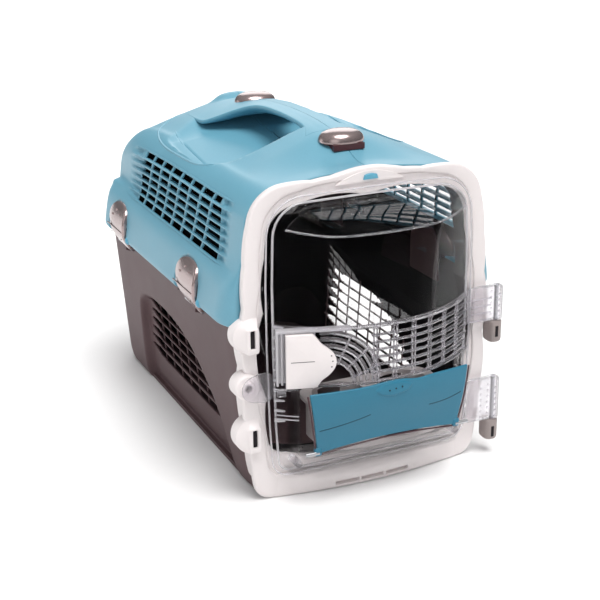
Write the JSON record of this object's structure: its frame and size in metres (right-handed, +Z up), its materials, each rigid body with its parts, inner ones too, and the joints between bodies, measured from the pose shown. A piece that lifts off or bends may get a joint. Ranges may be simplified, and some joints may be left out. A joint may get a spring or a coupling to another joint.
{
  "type": "pet transport carrier",
  "caption": "Hard-shell pet carrier: base tray, roof opening as side-hinged wings, clips, top latches, handle, and a clear hinged door with a tilting feed hatch.",
  "frame": {"origin": "on the floor under the middle of the carrier's bounding box", "axes": "+Z up, the door faces -Y, the carrier's length runs along Y and its width along X"},
  "size_m": [0.314, 0.52, 0.358],
  "materials": {
    "base_plastic": "finely textured taupe moulding",
    "frame_plastic": "smooth warm white moulding",
    "roof_plastic": "finely textured teal moulding",
    "hatch_plastic": "smooth deep teal moulding",
    "clip_silver": "satin silver paint on plastic",
    "slide_red": "dark red moulding",
    "pin_steel": "drawn steel",
    "clear_plastic": "clear moulded plastic",
    "dish_plastic": "smooth white moulding"
  },
  "bodies": {
    "base": {"base_tray": "base_plastic", "front_frame": "frame_plastic", "clip_pivot_pins": "pin_steel"},
    "lock_button": {"frame_lock_button": "hatch_plastic"},
    "wing_left": {"roof_left": "roof_plastic", "hinge_pins_left": "hatch_plastic"},
    "wing_right": {"roof_right": "roof_plastic", "hinge_pins_right": "hatch_plastic"},
    "clip_fl": {"clip_front_left": "clip_silver"},
    "clip_rl": {"clip_rear_left": "clip_silver"},
    "clip_fr": {"clip_front_right": "clip_silver"},
    "clip_rr": {"clip_rear_right": "clip_silver"},
    "latch_front": {"top_latch_front": "clip_silver", "top_slide_front": "slide_red"},
    "latch_rear": {"top_latch_rear": "clip_silver", "top_slide_rear": "slide_red"},
    "door": {"door_panel": "clear_plastic", "door_hinge_pins": "pin_steel", "door_latch_spring": "pin_steel", "door_screws": "clear_plastic", "hatch_pins": "pin_steel"},
    "latch_plate": {"door_latch": "frame_plastic"},
    "hatch": {"feed_hatch": "hatch_plastic"},
    "dish": {"food_dish": "dish_plastic"}
  },
  "joints": [
    {"name": "wing_left_hinge", "type": "hinge", "parent": "base", "child": "wing_left", "pos_m": [-0.146, 0.034, 0.193], "axis": [0, -1, 0], "range_deg": [0, 100]},
    {"name": "wing_right_hinge", "type": "hinge", "parent": "base", "child": "wing_right", "pos_m": [0.146, 0.034, 0.193], "axis": [0, 1, 0], "range_deg": [0, 100]},
    {"name": "clip_front_left_pivot", "type": "hinge", "parent": "base", "child": "clip_fl", "pos_m": [-0.143, -0.084, 0.177], "axis": [0, -1, 0], "range_deg": [0, 24]},
    {"name": "clip_rear_left_pivot", "type": "hinge", "parent": "base", "child": "clip_rl", "pos_m": [-0.143, 0.152, 0.177], "axis": [0, -1, 0], "range_deg": [0, 24]},
    {"name": "clip_front_right_pivot", "type": "hinge", "parent": "base", "child": "clip_fr", "pos_m": [0.143, -0.084, 0.177], "axis": [0, 1, 0], "range_deg": [0, 24]},
    {"name": "clip_rear_right_pivot", "type": "hinge", "parent": "base", "child": "clip_rr", "pos_m": [0.143, 0.152, 0.177], "axis": [0, 1, 0], "range_deg": [0, 24]},
    {"name": "top_latch_front_slide", "type": "slide", "parent": "wing_left", "child": "latch_front", "axis": [0, 1, 0], "range_m": [0, 0.008]},
    {"name": "top_latch_rear_slide", "type": "slide", "parent": "wing_left", "child": "latch_rear", "axis": [0, -1, 0], "range_m": [0, 0.008]},
    {"name": "lock_button_press", "type": "slide", "parent": "base", "child": "lock_button", "axis": [0, 1, 0], "range_m": [0, 0.002], "stiffness_N_per_m": 300, "springref_m": -0.003},
    {"name": "door_hinge", "type": "hinge", "parent": "base", "child": "door", "pos_m": [0.146, -0.206, 0.1], "axis": [0, 0, 1], "range_deg": [0, 115]},
    {"name": "door_latch_slide", "type": "slide", "parent": "door", "child": "latch_plate", "axis": [0.9563, -0.2924, 0], "range_m": [0, 0.008], "stiffness_N_per_m": 250, "springref_m": -0.004, "deforming": ["door_latch_spring"]},
    {"name": "feed_hatch_tilt", "type": "hinge", "parent": "door", "child": "hatch", "pos_m": [0, -0.244, 0.064], "axis": [1, 0, 0], "range_deg": [0, 50]},
    {"name": "food_dish_lift", "type": "slide", "parent": "door", "child": "dish", "axis": [0, 0, 1], "range_m": [0, 0.012]}
  ]
}
